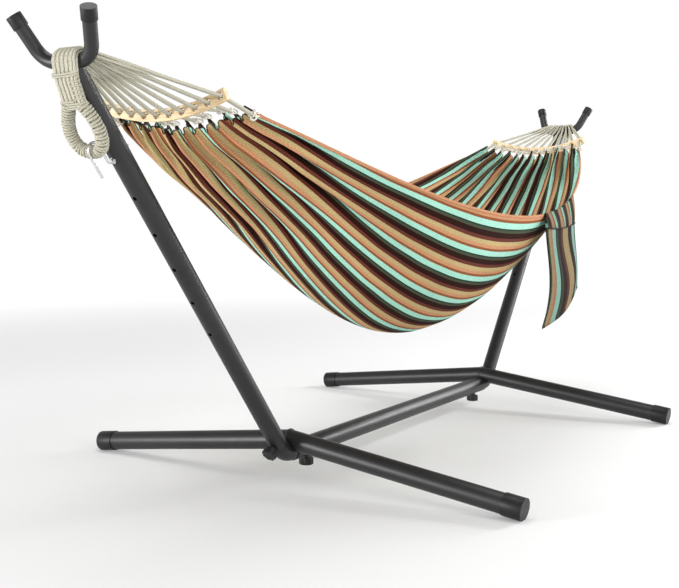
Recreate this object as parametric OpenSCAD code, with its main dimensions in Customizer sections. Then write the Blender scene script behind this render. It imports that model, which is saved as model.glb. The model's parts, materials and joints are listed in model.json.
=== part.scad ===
// Hammock on a steel stand. The A end is at -X and the B end at +X, +Z is up, and
// the origin is on the floor under the middle of the base beam. Left is +Y.

/* [Stand] */
// Height of the base beam's axis over the floor
beam_z = 68; // [60:1:90]
// Outside radius of the base beam and the foot tubes
beam_r = 23; // [20:0.5:26]
// Outside radius of the arms and elbows
arm_r = 21; // [18:0.5:21]
// Wall thickness of the arms and elbows
wall = 2; // [1.5:0.1:3]
// Half the length of the base beam
beam_half_l = 534; // [500:1:536]
// Distance from the middle to the corner where beam and arm axes meet
corner_x = 567; // [560:1:575]
// Lean of an arm away from the vertical
arm_lean = 37.9; // [35:0.1:40]
// Length of an arm from the corner to the axis of its hook tube
arm_l = 1055; // [1000:5:1100]
// Bend radius of an elbow's centre line
elbow_bend_r = 50; // [45:1:55]

/* [Feet] */
// Distance from the middle to the ridge where two foot tubes meet
apex_x = 540; // [537:1:545]
// Height of the foot tubes' axis at the ridge
apex_z = 97; // [94:1:105]
// Distance from the middle plane to the outer end of a foot cap
foot_half_w = 592; // [500:1:650]
// How far the foot ends stand further out than the ridge
foot_splay = 10; // [0:1:40]
// Outside radius of a foot cap
foot_cap_r = 25; // [24.5:0.5:28]
// Length of a foot cap
foot_cap_l = 46; // [35:1:60]
// Depth of the flat moulded under a foot cap
foot_flat = 2; // [1:0.5:3]

/* [Top hooks] */
// Outside radius of the hook tube
hook_r = 12.7; // [11:0.1:14]
// Lean of the hook's plane away from the vertical
hook_lean = 27; // [20:1:38]
// Half the length of the saddle's straight bottom
saddle_half_l = 27; // [26:1:32]
// Radius of the bend between the saddle's bottom and a prong
prong_bend_r = 44; // [44:1:60]
// Angle that a prong bends up through
prong_angle = 70; // [55:1:80]
// Straight length of a prong, to the end of its cap
prong_l = 66; // [50:1:100]
// Outside radius of a prong cap
prong_cap_r = 14.6; // [13.5:0.1:16]
// Length of a prong cap
prong_cap_l = 24; // [20:1:45]

/* [Clamp knobs] */
// Distance from the middle to a beam knob
beam_knob_x = 472; // [450:1:480]
// Distance up the arm from the corner to an arm knob
arm_knob_t = 42; // [40:1:60]
// Outside radius of a star knob over its lobes
knob_r = 17.5; // [15:0.5:20]
// Height of a star knob over its collar
knob_h = 17; // [12:1:20]
// Number of lobes on a star knob
knob_lobes = 8; // [5:1:10]
// Radius of a knob's bolt
bolt_r = 4; // [3:0.5:5]

/* [Anchor hooks] */
// Distance up the arm from the corner to the lowest adjusting hole
first_hole_t = 407; // [350:1:450]
// Spacing of the adjusting holes
hole_pitch = 90; // [70:1:92]
// Number of spare adjusting holes below the anchor hook
spare_holes = 5; // [3:1:6]
// Radius of an adjusting hole
hole_r = 4.5; // [3.5:0.5:6]
// Radius of the anchor hook's rod
rod_r = 2.5; // [2:0.5:3.5]

/* [Cords and bars] */
// Number of cords at each end, an odd number
cords = 11; // [7:2:15]
// Radius of one doubled cord
cord_r = 3; // [2:0.5:3.5]
// Half the width of the band of cords on the saddle
bundle_half_w = 26; // [24:0.5:26]
// Distance from the middle to a spreader bar
bar_x = 986; // [960:1:1010]
// Height of a spreader bar's axis at its middle
bar_z = 821; // [790:1:850]
// Radius that a spreader bar is bowed to
bar_bow_r = 430; // [350:10:800]
// Half the length of a spreader bar along its bow
bar_half_l = 173; // [165:1:200]
// Height of a spreader bar's section
bar_h = 24; // [20:1:30]
// Thickness of a spreader bar's section
bar_t = 10; // [8:1:18]
// Radius of the rope that forms the anchor loop
loop_rope_r = 11.5; // [9:0.5:12]
// Half the width of the anchor loop's centre line
loop_half_w = 33; // [28:1:40]

/* [Fabric bed] */
// Half the length of the bed between its ends
bed_half_l = 912; // [880:1:920]
// Half the width of the bed at its ends
end_half_w = 176; // [150:1:190]
// Half the width of the bed at its middle
mid_half_w = 372; // [300:1:400]
// Height of the side hems at the ends
end_hem_z = 820; // [800:1:840]
// Height of the side hems at the middle
mid_hem_z = 612; // [560:1:640]
// Height of the bed's lowest line, led straight out to the ends
end_floor_z = 748; // [730:1:760]
// Height of the bed's lowest line at the middle
mid_floor_z = 292; // [260:1:330]
// Thickness of the cloth with its padding of gathers
cloth_t = 4; // [3:0.5:6]
// Radius of a rolled side hem
hem_r = 4; // [3:0.5:5]

/* [Bag] */
// Nearer end of the bag along X
bag_x0 = 100; // [60:1:150]
// Further end of the bag along X
bag_x1 = 425; // [380:1:560]
// Greatest thickness of the empty bag
bag_t = 8; // [6:1:20]
// Height of the bag's gathered header at its nearer end
header_h0 = 32; // [20:1:40]
// Height of the bag's gathered header at its further end
header_h1 = 74; // [50:1:80]

/* [Hidden] */

$fn = 48;
metal = "#26282a";
plastic = "#161718";
steel = "#c9cdd0";
cotton = "#ddd8c4";
timber = "#dcc090";
// Gap between pieces that fit together
fit_gap = 0.1;
// Thickness of the closed end of a cap
cap_end = 4;
// A length that reaches past any tube's wall
past = 60;
// How much slimmer a straight is than the bend it runs into, and how far it runs in
bend_step = 0.05;
bend_lap = 2;

beam_bore_r = arm_r + fit_gap;
spigot_r = arm_r - wall - 2 * fit_gap;
spigot_l = 110;
elbow_tangent = elbow_bend_r * tan((90 - arm_lean) / 2);
collar_l = 7;
arm_start_t = elbow_tangent + collar_l + 0.5;
elbow_leg_x = 420;
hook_hole_t = first_hole_t + spare_holes * hole_pitch;

// Placing

// The A end as drawn, or its mirror image at the B end.
module at_end(end) {
    mirror([end == "b" ? 1 : 0, 0, 0])
        children();
}

// Local Z runs up the arm's axis from the corner, and -X points outward.
module on_arm() {
    translate([-corner_x, 0, beam_z])
        rotate([0, -arm_lean, 0])
            children();
}

// Local Z runs up in the hook's plane from the lowest point of its axis.
module on_hook() {
    translate([-corner_x - arm_l * sin(arm_lean), 0, beam_z + arm_l * cos(arm_lean)])
        rotate([0, -hook_lean, 0])
            children();
}

// A round bar between two points.
module rod_between(p, q, r) {
    d = q - p;
    l = norm(d);
    translate(p)
        rotate([0, acos(d.z / l), atan2(d.y, d.x)])
            cylinder(r = r, h = l);
}

// A ring segment about the local Z axis, of round section.
module bent_rod(bend_r, r, from, angle) {
    rotate([0, 0, from])
        rotate_extrude(angle = angle)
            translate([bend_r, 0])
                circle(r = r);
}

// A tube's closed surface along points, each joined to the next by a ring.
function unit(v) = v / norm(v);
function ring(p, d, r, sides) =
    let (a = unit(cross(d, [0.31, 0.17, 0.93])), b = cross(unit(d), a))
    [for (i = [0 : sides - 1]) p + r * (a * cos(360 * i / sides) + b * sin(360 * i / sides))];

module sweep(path, r, sides = 8) {
    n = len(path);
    rings = [
        for (i = [0 : n - 1])
            each ring(path[i], path[min(i + 1, n - 1)] - path[max(i - 1, 0)], r, sides)
    ];
    sides_faces = [
        for (i = [0 : n - 2], j = [0 : sides - 1])
            let (k = (j + 1) % sides)
            [i * sides + j, (i + 1) * sides + j, (i + 1) * sides + k, i * sides + k]
    ];
    first = [for (j = [0 : sides - 1]) j];
    last = [for (j = [sides - 1 : -1 : 0]) (n - 1) * sides + j];
    polyhedron(points = rings, faces = concat(sides_faces, [first, last]), convexity = 6);
}

// Two facing grids of points, each rows x cols, closed round their edges.
module closed_shell(upper, lower, rows, cols) {
    n = rows * cols;
    quads = [
        for (i = [0 : rows - 2], j = [0 : cols - 2])
            let (a = i * cols + j, b = a + 1, c = a + cols + 1, d = a + cols)
            each [
                [a, d, b], [b, d, c],
                [n + a, n + b, n + d], [n + b, n + c, n + d]
            ]
    ];
    row_edges = [
        for (j = [0 : cols - 2])
            let (a = j, b = j + 1, c = n - cols + j, d = c + 1)
            each [
                [a, b, n + a], [b, n + b, n + a],
                [c, n + c, d], [d, n + c, n + d]
            ]
    ];
    col_edges = [
        for (i = [0 : rows - 2])
            let (a = i * cols, b = a + cols, c = a + cols - 1, d = c + cols)
            each [
                [a, n + a, b], [b, n + a, n + b],
                [c, d, n + c], [d, n + d, n + c]
            ]
    ];
    polyhedron(
        points = concat(upper, lower),
        faces = concat(quads, row_edges, col_edges),
        convexity = 8
    );
}

// Stand

// The elbow's outside or inside: a leg in the beam, the bend and a leg up the arm.
module elbow_core(r, up_r, up_l, leg_end = 0) {
    on_arm() {
        translate([0, 0, elbow_tangent - bend_lap])
            cylinder(r = up_r, h = up_l + bend_lap);
        translate([elbow_bend_r, 0, elbow_tangent])
            rotate([90, 0, 0])
                bent_rod(elbow_bend_r, r, 180, 90 - arm_lean);
    }
    translate([elbow_tangent - corner_x - bend_lap, 0, beam_z])
        rotate([0, 90, 0])
            cylinder(
                r = r - bend_step,
                h = corner_x - elbow_tangent - elbow_leg_x + leg_end + bend_lap
            );
}

// Bolt holes through one wall: the beam's underside and the arm's outer side.
module beam_bolt_hole() {
    translate([-beam_knob_x, 0, beam_z - past])
        cylinder(r = bolt_r + 0.5, h = past);
}

module arm_bolt_hole() {
    on_arm()
        translate([0, 0, arm_knob_t])
            rotate([0, -90, 0])
                cylinder(r = bolt_r + 0.5, h = past);
}

module base_beam() {
    color(metal)
        difference() {
            translate([-beam_half_l, 0, beam_z])
                rotate([0, 90, 0])
                    cylinder(r = beam_r, h = 2 * beam_half_l);
            translate([-beam_half_l - 1, 0, beam_z])
                rotate([0, 90, 0])
                    cylinder(r = beam_bore_r, h = 2 * beam_half_l + 2);
            beam_bolt_hole();
            mirror([1, 0, 0])
                beam_bolt_hole();
        }
}

module elbow(end) {
    color(metal)
        at_end(end)
            difference() {
                union() {
                    elbow_core(arm_r, spigot_r, spigot_l);
                    on_arm()
                        translate([0, 0, elbow_tangent - bend_lap])
                            cylinder(r = arm_r - bend_step, h = bend_lap + collar_l);
                }
                elbow_core(arm_r - wall, spigot_r - wall, spigot_l + 1, 1);
                beam_bolt_hole();
                arm_bolt_hole();
            }
}

// The arm: a tube whose crimped top is notched to sit under the hook tube.
module arm(end) {
    crimp_t = arm_l - 54;
    crimp_half = 11;
    color(metal)
        at_end(end)
            difference() {
                on_arm()
                    difference() {
                        translate([0, 0, arm_start_t])
                            cylinder(r = arm_r, h = arm_l - arm_start_t);
                        translate([0, 0, arm_start_t - 1])
                            cylinder(r = arm_r - wall, h = crimp_t - arm_start_t - 4);
                        for (side = [0, 1])
                            mirror([side, 0, 0])
                                crimp_cut(crimp_t, crimp_half);
                        for (i = [0 : spare_holes])
                            translate([-past, 0, first_hole_t + i * hole_pitch])
                                rotate([0, 90, 0])
                                    cylinder(r = hole_r, h = 2 * past);
                    }
                arm_bolt_hole();
                on_hook()
                    hook_core(hook_r + fit_gap);
            }
}

// What the crimp takes away on one side of the arm's top.
module crimp_cut(crimp_t, crimp_half) {
    rotate([90, 0, 0])
        translate([0, 0, -past])
            linear_extrude(height = 2 * past)
                polygon([
                    [arm_r, crimp_t], [crimp_half, crimp_t + 30],
                    [crimp_half, arm_l + past], [past, arm_l + past], [past, crimp_t]
                ]);
}

// The hook tube's outside or inside: the straight saddle and two flaring prongs.
module hook_core(r, l = prong_l - cap_end) {
    rotate([90, 0, 0])
        translate([0, 0, -saddle_half_l - bend_lap])
            cylinder(r = r - bend_step, h = 2 * (saddle_half_l + bend_lap));
    for (side = [0, 1]) {
        mirror([0, side, 0])
            translate([0, saddle_half_l, prong_bend_r])
                rotate([0, 90, 0])
                    bent_rod(prong_bend_r, r, 0, prong_angle);
        on_prong(side)
            translate([0, 0, -bend_lap])
                cylinder(r = r - bend_step, h = l + bend_lap);
    }
}

// Local Z runs up a prong from the end of the saddle's bend.
module on_prong(side) {
    mirror([0, side, 0])
        translate([
            0,
            saddle_half_l + prong_bend_r * sin(prong_angle),
            prong_bend_r * (1 - cos(prong_angle))
        ])
            rotate([prong_angle - 90, 0, 0])
                children();
}

module hook_tube(end) {
    color(metal)
        at_end(end)
            on_hook()
                difference() {
                    hook_core(hook_r);
                    hook_core(hook_r - wall, prong_l);
                }
}

module prong_cap(end, side) {
    color(plastic)
        at_end(end)
            on_hook()
                on_prong(side)
                    translate([0, 0, prong_l - prong_cap_l])
                        difference() {
                            cylinder(r = prong_cap_r, h = prong_cap_l);
                            translate([0, 0, -1])
                                cylinder(r = hook_r + fit_gap, h = prong_cap_l - cap_end + 1 + fit_gap);
                        }
}

// Local Z runs out along a foot's axis from the ridge to the cap's end.
foot_end_z = foot_cap_r - foot_flat;
foot_run = [-foot_splay, foot_half_w, foot_end_z - apex_z];
foot_l = norm(foot_run);

module on_foot(side) {
    mirror([0, side, 0])
        translate([-apex_x, 0, apex_z])
            rotate([0, acos(foot_run.z / foot_l), atan2(foot_run.y, foot_run.x)])
                children();
}

// A foot tube, mitred at the ridge and notched to sit on the elbow.
module foot_tube(end, side) {
    bore_r = beam_r - wall;
    color(metal)
        at_end(end)
            difference() {
                on_foot(side)
                    difference() {
                        translate([0, 0, -beam_r])
                            cylinder(r = beam_r, h = foot_l + beam_r - cap_end);
                        translate([0, 0, -2 * beam_r])
                            cylinder(r = bore_r, h = foot_l + 3 * beam_r);
                    }
                mirror([0, side, 0])
                    translate([-apex_x - past, -2 * past, 0])
                        cube([2 * past, 2 * past + fit_gap / 2, 3 * past]);
                elbow_core(arm_r + fit_gap, arm_r + fit_gap, past);
                translate([-beam_half_l - 1, 0, beam_z])
                    rotate([0, 90, 0])
                        cylinder(r = beam_r + fit_gap, h = past);
            }
}

module foot_cap(end, side) {
    color(plastic)
        at_end(end)
            difference() {
                on_foot(side)
                    translate([0, 0, foot_l - foot_cap_l])
                        difference() {
                            cylinder(r = foot_cap_r, h = foot_cap_l);
                            translate([0, 0, -1])
                                cylinder(r = beam_r + fit_gap, h = foot_cap_l - cap_end + 1 + fit_gap);
                        }
                translate([-apex_x - past, -foot_half_w - past, -past])
                    cube([2 * past, 2 * (foot_half_w + past), past]);
            }
}

// Clamp knobs. Local Z points away from the tube, from its outer surface.

knob_collar_h = 5;
knob_collar_r = 9;
bolt_in = 16;

module on_beam_knob() {
    translate([-beam_knob_x, 0, beam_z - beam_r])
        rotate([180, 0, 0])
            children();
}

module on_arm_knob() {
    on_arm()
        translate([-arm_r, 0, arm_knob_t])
            rotate([0, -90, 0])
                children();
}

module star_knob() {
    lobe_r = 4.6;
    lobe_depth = 2.5;
    lobe_inset = 0.6;
    collar_gap = 0.4;
    color(plastic)
        difference() {
            union() {
                translate([0, 0, collar_gap])
                    cylinder(r = knob_collar_r, h = knob_collar_h);
                translate([0, 0, knob_collar_h])
                    cylinder(r = knob_r - lobe_depth, h = knob_h);
                for (i = [0 : knob_lobes - 1])
                    rotate([0, 0, 360 * (i + 0.3) / knob_lobes])
                        translate([knob_r - lobe_r, 0, knob_collar_h + lobe_inset])
                            cylinder(r = lobe_r, h = knob_h - 2 * lobe_inset);
            }
            cylinder(r = bolt_r + fit_gap / 2, h = knob_h);
        }
}

module knob_bolt() {
    color(steel)
        translate([0, 0, -bolt_in])
            cylinder(r = bolt_r, h = bolt_in + knob_h - 1);
}

module arm_knob(end) {
    at_end(end)
        on_arm_knob()
            star_knob();
}

module beam_knob(end) {
    at_end(end)
        on_beam_knob()
            star_knob();
}

module arm_knob_bolt(end) {
    at_end(end)
        on_arm_knob()
            knob_bolt();
}

module beam_knob_bolt(end) {
    at_end(end)
        on_beam_knob()
            knob_bolt();
}

// A hexagon nut standing on z = 0, given the radius of its bolt.
module hex_nut(r, across, h) {
    color(steel)
        difference() {
            cylinder(r = across / (2 * cos(30)), h = h, $fn = 6);
            translate([0, 0, -1])
                cylinder(r = r + fit_gap / 2, h = h + 2);
        }
}

// The four weld nuts inside the elbows that the knobs screw into.
module clamp_nuts() {
    nut_h = 6.5;
    nut_across = 13;
    arm_depth = 6;
    beam_depth = 6;
    for (end = ["a", "b"])
        at_end(end) {
            on_arm_knob()
                translate([0, 0, -arm_depth - nut_h])
                    hex_nut(bolt_r, nut_across, nut_h);
            on_beam_knob()
                translate([0, 0, -beam_depth - nut_h])
                    hex_nut(bolt_r, nut_across, nut_h);
        }
}

// Anchor hooks

hook_leg_x = 34;
hook_arch_r = 15;
hook_arch_z = 42;
hook_tail = 50;
hook_corner_r = 8;
washer_t = 1.5;
nut_t = 3.2;

// Local Z runs up the arm from the anchor hook's hole, and -X points outward.
module on_anchor() {
    on_arm()
        translate([0, 0, hook_hole_t])
            children();
}

// A threaded shank through the arm, turned up and over the rope into a long tail.
module anchor_hook(end) {
    shank = hook_leg_x - hook_corner_r + arm_r + nut_t + washer_t + 3;
    color(steel)
        at_end(end)
            on_anchor() {
                translate([arm_r + nut_t + washer_t + 3, 0, 0])
                    rotate([0, -90, 0])
                        cylinder(r = rod_r, h = shank);
                translate([-hook_leg_x + hook_corner_r, 0, hook_corner_r])
                    rotate([90, 0, 0])
                        bent_rod(hook_corner_r, rod_r, 180, 90);
                translate([-hook_leg_x, 0, hook_corner_r])
                    cylinder(r = rod_r, h = hook_arch_z - hook_corner_r);
                translate([-hook_leg_x - hook_arch_r, 0, hook_arch_z])
                    rotate([90, 0, 0])
                        bent_rod(hook_arch_r, rod_r, 0, 180);
                translate([-hook_leg_x - 2 * hook_arch_r, 0, hook_arch_z - hook_tail])
                    cylinder(r = rod_r, h = hook_tail);
            }
}

// Two nuts on each shank, one each side of the arm.
module anchor_nuts() {
    nut_across = 8;
    for (end = ["a", "b"])
        at_end(end)
            on_anchor()
                for (side = [0, 1])
                    mirror([side, 0, 0])
                        translate([arm_r + washer_t + fit_gap, 0, 0])
                            rotate([0, 90, 0])
                                hex_nut(rod_r, nut_across, nut_t);
}

module anchor_washers() {
    washer_r = 6.5;
    color(steel)
        for (end = ["a", "b"])
            at_end(end)
                on_anchor()
                    for (side = [0, 1])
                        mirror([side, 0, 0])
                            translate([arm_r, 0, 0])
                                rotate([0, 90, 0])
                                    difference() {
                                        cylinder(r = washer_r, h = washer_t);
                                        translate([0, 0, -1])
                                            cylinder(r = rod_r + fit_gap, h = washer_t + 2);
                                    }
}

// Rope ends on the stand

wrap_r = 18.6;

// The band of cords over the saddle, half way round the hook tube.
module saddle_cords(end) {
    color(cotton)
        at_end(end)
            on_hook()
                rotate([90, 0, 0])
                    translate([0, 0, -bundle_half_w])
                        linear_extrude(height = 2 * bundle_half_w)
                            difference() {
                                circle(r = wrap_r);
                                circle(r = hook_r + 3 * fit_gap);
                                translate([-past, -2 * past])
                                    square(2 * past);
                            }
}

// The loop's plane: its lowest rope lies under the anchor hook's arch.
loop_x = hook_leg_x + hook_arch_r;
loop_z = hook_arch_z - 3.5;
loop_tilt = 7.6;
loop_straight = 30;
loop_top = 86;

module on_loop() {
    on_anchor()
        translate([-loop_x, 0, loop_z])
            rotate([0, loop_tilt, 0])
                children();
}

// The long eye that the anchor hook holds, cut square under its neck.
module anchor_loop(end) {
    color(cotton)
        at_end(end)
            on_loop()
                intersection() {
                    union() {
                        for (top = [0, 1])
                            translate([0, 0, loop_half_w + top * loop_straight])
                                rotate([0, 90, 0])
                                    bent_rod(loop_half_w, loop_rope_r, top * 180 - 90, 180);
                        for (side = [-1, 1])
                            translate([0, side * loop_half_w, loop_half_w])
                                cylinder(r = loop_rope_r, h = loop_straight);
                    }
                    translate([-past, -past, -past])
                        cube([2 * past, 2 * past, past + loop_top]);
                }
}

// The bound neck between the loop and the saddle, flatter at its top.
module loop_neck(end) {
    slice = 2;
    color(cotton)
        at_end(end)
            hull($fn = 32) {
                on_loop()
                    translate([0, 0, loop_top + fit_gap])
                        scale([0.5, 1, 1])
                            cylinder(r = 23, h = slice);
                on_hook()
                    translate([-wrap_r + 2.6, 0, -slice - 2])
                        scale([0.1, 1, 1])
                            cylinder(r = 23, h = slice);
            }
}

// Hammock cords and spreader bars

half_cords = (cords - 1) / 2;
hole_step = 4.25;
hook_x = corner_x + arm_l * sin(arm_lean);
hook_z = beam_z + arm_l * cos(arm_lean);
// The free cords start clear of the band that they swing beside.
fan_x = hook_x - 29;
fan_z = hook_z + 5;
fan_half_w = half_cords * (2 * cord_r + 1.2);
tail_x = bed_half_l + 18;
tail_step = end_half_w / half_cords;

function fan_start(i) = [-fan_x, i * fan_half_w / half_cords, fan_z];
function bar_hole(i) = [
    -bar_x,
    bar_bow_r * sin(i * hole_step),
    bar_z + bar_bow_r * (1 - cos(i * hole_step))
];
function end_edge_z(y) = 796 + 20 * pow(y / end_half_w, 2);
function cord_tail(i) = [-tail_x, i * tail_step, end_edge_z(i * tail_step)];

module fan_cords(end) {
    color(cotton)
        at_end(end)
            for (i = [-half_cords : half_cords])
                rod_between(fan_start(i), bar_hole(i) - [0.4, 0, 0], cord_r);
}

module tail_cords(end) {
    knot_room = 7;
    color(cotton)
        at_end(end)
            for (i = [-half_cords : half_cords])
                rod_between(bar_hole(i) + [0.4, 0, 0], cord_tail(i) - [knot_room, 0, 0], cord_r);
}

module cord_knots(end) {
    knot_r = 6;
    color("ivory")
        at_end(end)
            for (i = [-half_cords : half_cords])
                translate(cord_tail(i))
                    sphere(r = knot_r);
}

module spreader_bar(end) {
    bow_angle = bar_half_l / bar_bow_r * 180 / PI;
    hole_room = 4;
    color(timber)
        at_end(end)
            difference() {
                translate([-bar_x, 0, bar_z + bar_bow_r])
                    rotate([0, 90, 0])
                        rotate([0, 0, -bow_angle])
                            rotate_extrude(angle = 2 * bow_angle)
                                translate([bar_bow_r - bar_h / 2, -bar_t / 2])
                                    square([bar_h, bar_t]);
                for (i = [-half_cords : half_cords])
                    translate(bar_hole(i) - [bar_t, 0, 0])
                        rotate([0, 90, 0])
                            cylinder(r = cord_r + hole_room, h = 2 * bar_t);
            }
}

// Fabric bed. u runs from -1 at the A end to 1 at the B end, v from -1 to 1 across.

section_angle = 50;
function fullness(u) = 1 - u * u;
function hem_y(u) = end_half_w + (mid_half_w - end_half_w) * fullness(u);
function hem_z(u) = end_hem_z - (end_hem_z - mid_hem_z) * pow(fullness(u), 1.15);
function end_lift(u) = 46 * pow(abs(u), 40);
function floor_z(u) =
    end_floor_z - (end_floor_z - mid_floor_z) * pow(fullness(u), 1.9) + end_lift(u);
function rise(v) = pow((1 - cos(section_angle * v)) / (1 - cos(section_angle)), 0.87);
function bed_point(u, v) = [
    bed_half_l * u,
    hem_y(u) * sin(section_angle * v) / sin(section_angle),
    floor_z(u) + (hem_z(u) - floor_z(u)) * rise(v)
];
function bed_normal(u, v) =
    let (e = 0.01)
    unit(cross(
        bed_point(min(u + e, 1), v) - bed_point(max(u - e, -1), v),
        bed_point(u, min(v + e, 1)) - bed_point(u, max(v - e, -1))
    ));

bed_rows = 37;
bed_cols = 19;
cloth_u = 0.988;
cloth_v = 0.975;

module bed_fabric() {
    grid = [
        for (i = [0 : bed_rows - 1], j = [0 : bed_cols - 1])
            [cloth_u * (2 * i / (bed_rows - 1) - 1), cloth_v * (2 * j / (bed_cols - 1) - 1)]
    ];
    color("rosybrown")
        closed_shell(
            [for (g = grid) bed_point(g[0], g[1]) + bed_normal(g[0], g[1]) * cloth_t / 2],
            [for (g = grid) bed_point(g[0], g[1]) - bed_normal(g[0], g[1]) * cloth_t / 2],
            bed_rows,
            bed_cols
        );
}

module side_hem(side) {
    rings = 40;
    path = [for (i = [0 : rings]) bed_point(cloth_u * (2 * i / rings - 1), side)];
    color("peru")
        sweep(path, hem_r);
}

module end_hem(end) {
    rings = 16;
    hem_reach = 0.94;
    path = [for (i = [0 : rings]) bed_point(-1, hem_reach * (2 * i / rings - 1))];
    color("dimgray")
        at_end(end)
            sweep(path, hem_r - 1);
}

// Storage bag, hung from the right hem near the B end. a runs along it and b down.

bag_gap = 2;
bag_cols = 13;
header_rows = 5;
body_rows = 11;

function hem_point_at(x) = [x, -hem_y(x / bed_half_l), hem_z(x / bed_half_l)];
function bag_top(a) =
    hem_point_at(bag_x0 + (bag_x1 - bag_x0) * a) - [0, hem_r + bag_gap + bag_t / 2, 0];
function header_foot(a) = bag_top(a) - [0, 0, header_h0 + (header_h1 - header_h0) * a];
function bag_foot(a) =
    bag_top(a) + [lerp(-20, 20, a), 0, 0] - [0, 0, lerp(293, 258, a) + 6 * sin(180 * a)];
function lerp(p, q, t) = p + (q - p) * t;
function bag_half_t(a, b) = 2 + (bag_t / 2 - 2) * sin(180 * a) * sin(30 + 150 * b);

// One face of the bag between two edges that are functions of a.
function bag_face(top, foot, rows, side) = [
    for (i = [0 : rows - 1], j = [0 : bag_cols - 1])
        let (a = j / (bag_cols - 1), b = i / (rows - 1))
        lerp(top[j], foot[j], b) + [0, side * bag_half_t(a, b), 0]
];

module bag_header() {
    top = [for (j = [0 : bag_cols - 1]) bag_top(j / (bag_cols - 1))];
    foot = [for (j = [0 : bag_cols - 1]) header_foot(j / (bag_cols - 1))];
    color("tan")
        closed_shell(
            bag_face(top, foot, header_rows, -1),
            bag_face(top, foot, header_rows, 1),
            header_rows,
            bag_cols
        );
}

module bag_body() {
    seam = 0.5;
    top = [for (j = [0 : bag_cols - 1]) header_foot(j / (bag_cols - 1)) - [0, 0, seam]];
    foot = [for (j = [0 : bag_cols - 1]) bag_foot(j / (bag_cols - 1))];
    color("rosybrown")
        closed_shell(
            bag_face(top, foot, body_rows, -1),
            bag_face(top, foot, body_rows, 1),
            body_rows,
            bag_cols
        );
}

base_beam();
elbow("a");  // elbow_a
elbow("b");  // elbow_b
arm("a");  // arm_a
arm("b");  // arm_b
hook_tube("a");  // hook_tube_a
hook_tube("b");  // hook_tube_b
foot_tube("a", 0);  // foot_tube_a_left
foot_tube("a", 1);  // foot_tube_a_right
foot_tube("b", 0);  // foot_tube_b_left
foot_tube("b", 1);  // foot_tube_b_right
foot_cap("a", 0);  // foot_cap_a_left
foot_cap("a", 1);  // foot_cap_a_right
foot_cap("b", 0);  // foot_cap_b_left
foot_cap("b", 1);  // foot_cap_b_right
prong_cap("a", 0);  // prong_cap_a_left
prong_cap("a", 1);  // prong_cap_a_right
prong_cap("b", 0);  // prong_cap_b_left
prong_cap("b", 1);  // prong_cap_b_right
clamp_nuts();
arm_knob("a");  // arm_knob_a
arm_knob("b");  // arm_knob_b
beam_knob("a");  // beam_knob_a
beam_knob("b");  // beam_knob_b
arm_knob_bolt("a");  // arm_knob_bolt_a
arm_knob_bolt("b");  // arm_knob_bolt_b
beam_knob_bolt("a");  // beam_knob_bolt_a
beam_knob_bolt("b");  // beam_knob_bolt_b
anchor_hook("a");  // anchor_hook_a
anchor_hook("b");  // anchor_hook_b
anchor_nuts();
anchor_washers();
saddle_cords("a");  // saddle_cords_a
saddle_cords("b");  // saddle_cords_b
loop_neck("a");  // loop_neck_a
loop_neck("b");  // loop_neck_b
anchor_loop("a");  // anchor_loop_a
anchor_loop("b");  // anchor_loop_b
fan_cords("a");  // fan_cords_a
fan_cords("b");  // fan_cords_b
spreader_bar("a");  // spreader_bar_a
spreader_bar("b");  // spreader_bar_b
tail_cords("a");  // tail_cords_a
tail_cords("b");  // tail_cords_b
cord_knots("a");  // cord_knots_a
cord_knots("b");  // cord_knots_b
bed_fabric();
side_hem(1);  // side_hem_left
side_hem(-1);  // side_hem_right
end_hem("a");  // end_hem_a
end_hem("b");  // end_hem_b
bag_header();
bag_body();
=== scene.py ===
import json
import math

import bpy
import numpy as np
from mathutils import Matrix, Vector, noise


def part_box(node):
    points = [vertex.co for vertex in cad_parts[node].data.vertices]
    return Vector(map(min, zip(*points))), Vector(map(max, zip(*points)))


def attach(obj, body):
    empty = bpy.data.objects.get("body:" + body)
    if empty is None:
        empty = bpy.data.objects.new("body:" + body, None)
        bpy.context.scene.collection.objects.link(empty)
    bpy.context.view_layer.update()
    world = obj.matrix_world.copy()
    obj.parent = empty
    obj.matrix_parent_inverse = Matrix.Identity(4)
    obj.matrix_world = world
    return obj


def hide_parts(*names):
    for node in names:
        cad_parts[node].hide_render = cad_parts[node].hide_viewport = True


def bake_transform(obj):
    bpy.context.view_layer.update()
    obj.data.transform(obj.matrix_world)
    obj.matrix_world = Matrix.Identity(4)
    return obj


# Metres, in the CAD frame: A end at -X, B end at +X, right side at -Y, Z up from the floor.
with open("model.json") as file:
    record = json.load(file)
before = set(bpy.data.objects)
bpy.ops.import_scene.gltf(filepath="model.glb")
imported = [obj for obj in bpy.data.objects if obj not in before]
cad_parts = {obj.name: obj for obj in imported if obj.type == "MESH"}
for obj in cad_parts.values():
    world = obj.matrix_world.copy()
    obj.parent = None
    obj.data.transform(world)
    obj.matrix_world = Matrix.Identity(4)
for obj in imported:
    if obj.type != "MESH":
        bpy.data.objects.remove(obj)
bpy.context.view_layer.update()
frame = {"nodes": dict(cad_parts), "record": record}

# ---------------------------------------------------------------- sizes

# Lean of an arm away from the vertical, and the radius of a hook tube
ARM_LEAN = math.radians(37.9)
HOOK_R = 0.0127

# Cords at each end, each of two strands
CORDS = 11
STRAND_R = 0.0029

# The cloth gathers at its ends into one fold for each repeat of its stripes
FOLDS = 12
FOLD_SHARPNESS = 0.62
SECTION_ANGLE = math.radians(50)

# The cloth, cut flat, and one repeat of its stripes
CLOTH_W = 1.05
CLOTH_L = 2.0
STRIPE_REPEAT = CLOTH_W / FOLDS

# The bag's width, and the flat heights of its pouch and header
BAG_W = 0.33
POUCH_H = 0.25

# How thick the shell of the bed's cloth and of the bag's is
BED_THICK = 0.0016
BAG_THICK = 0.0014

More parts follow.
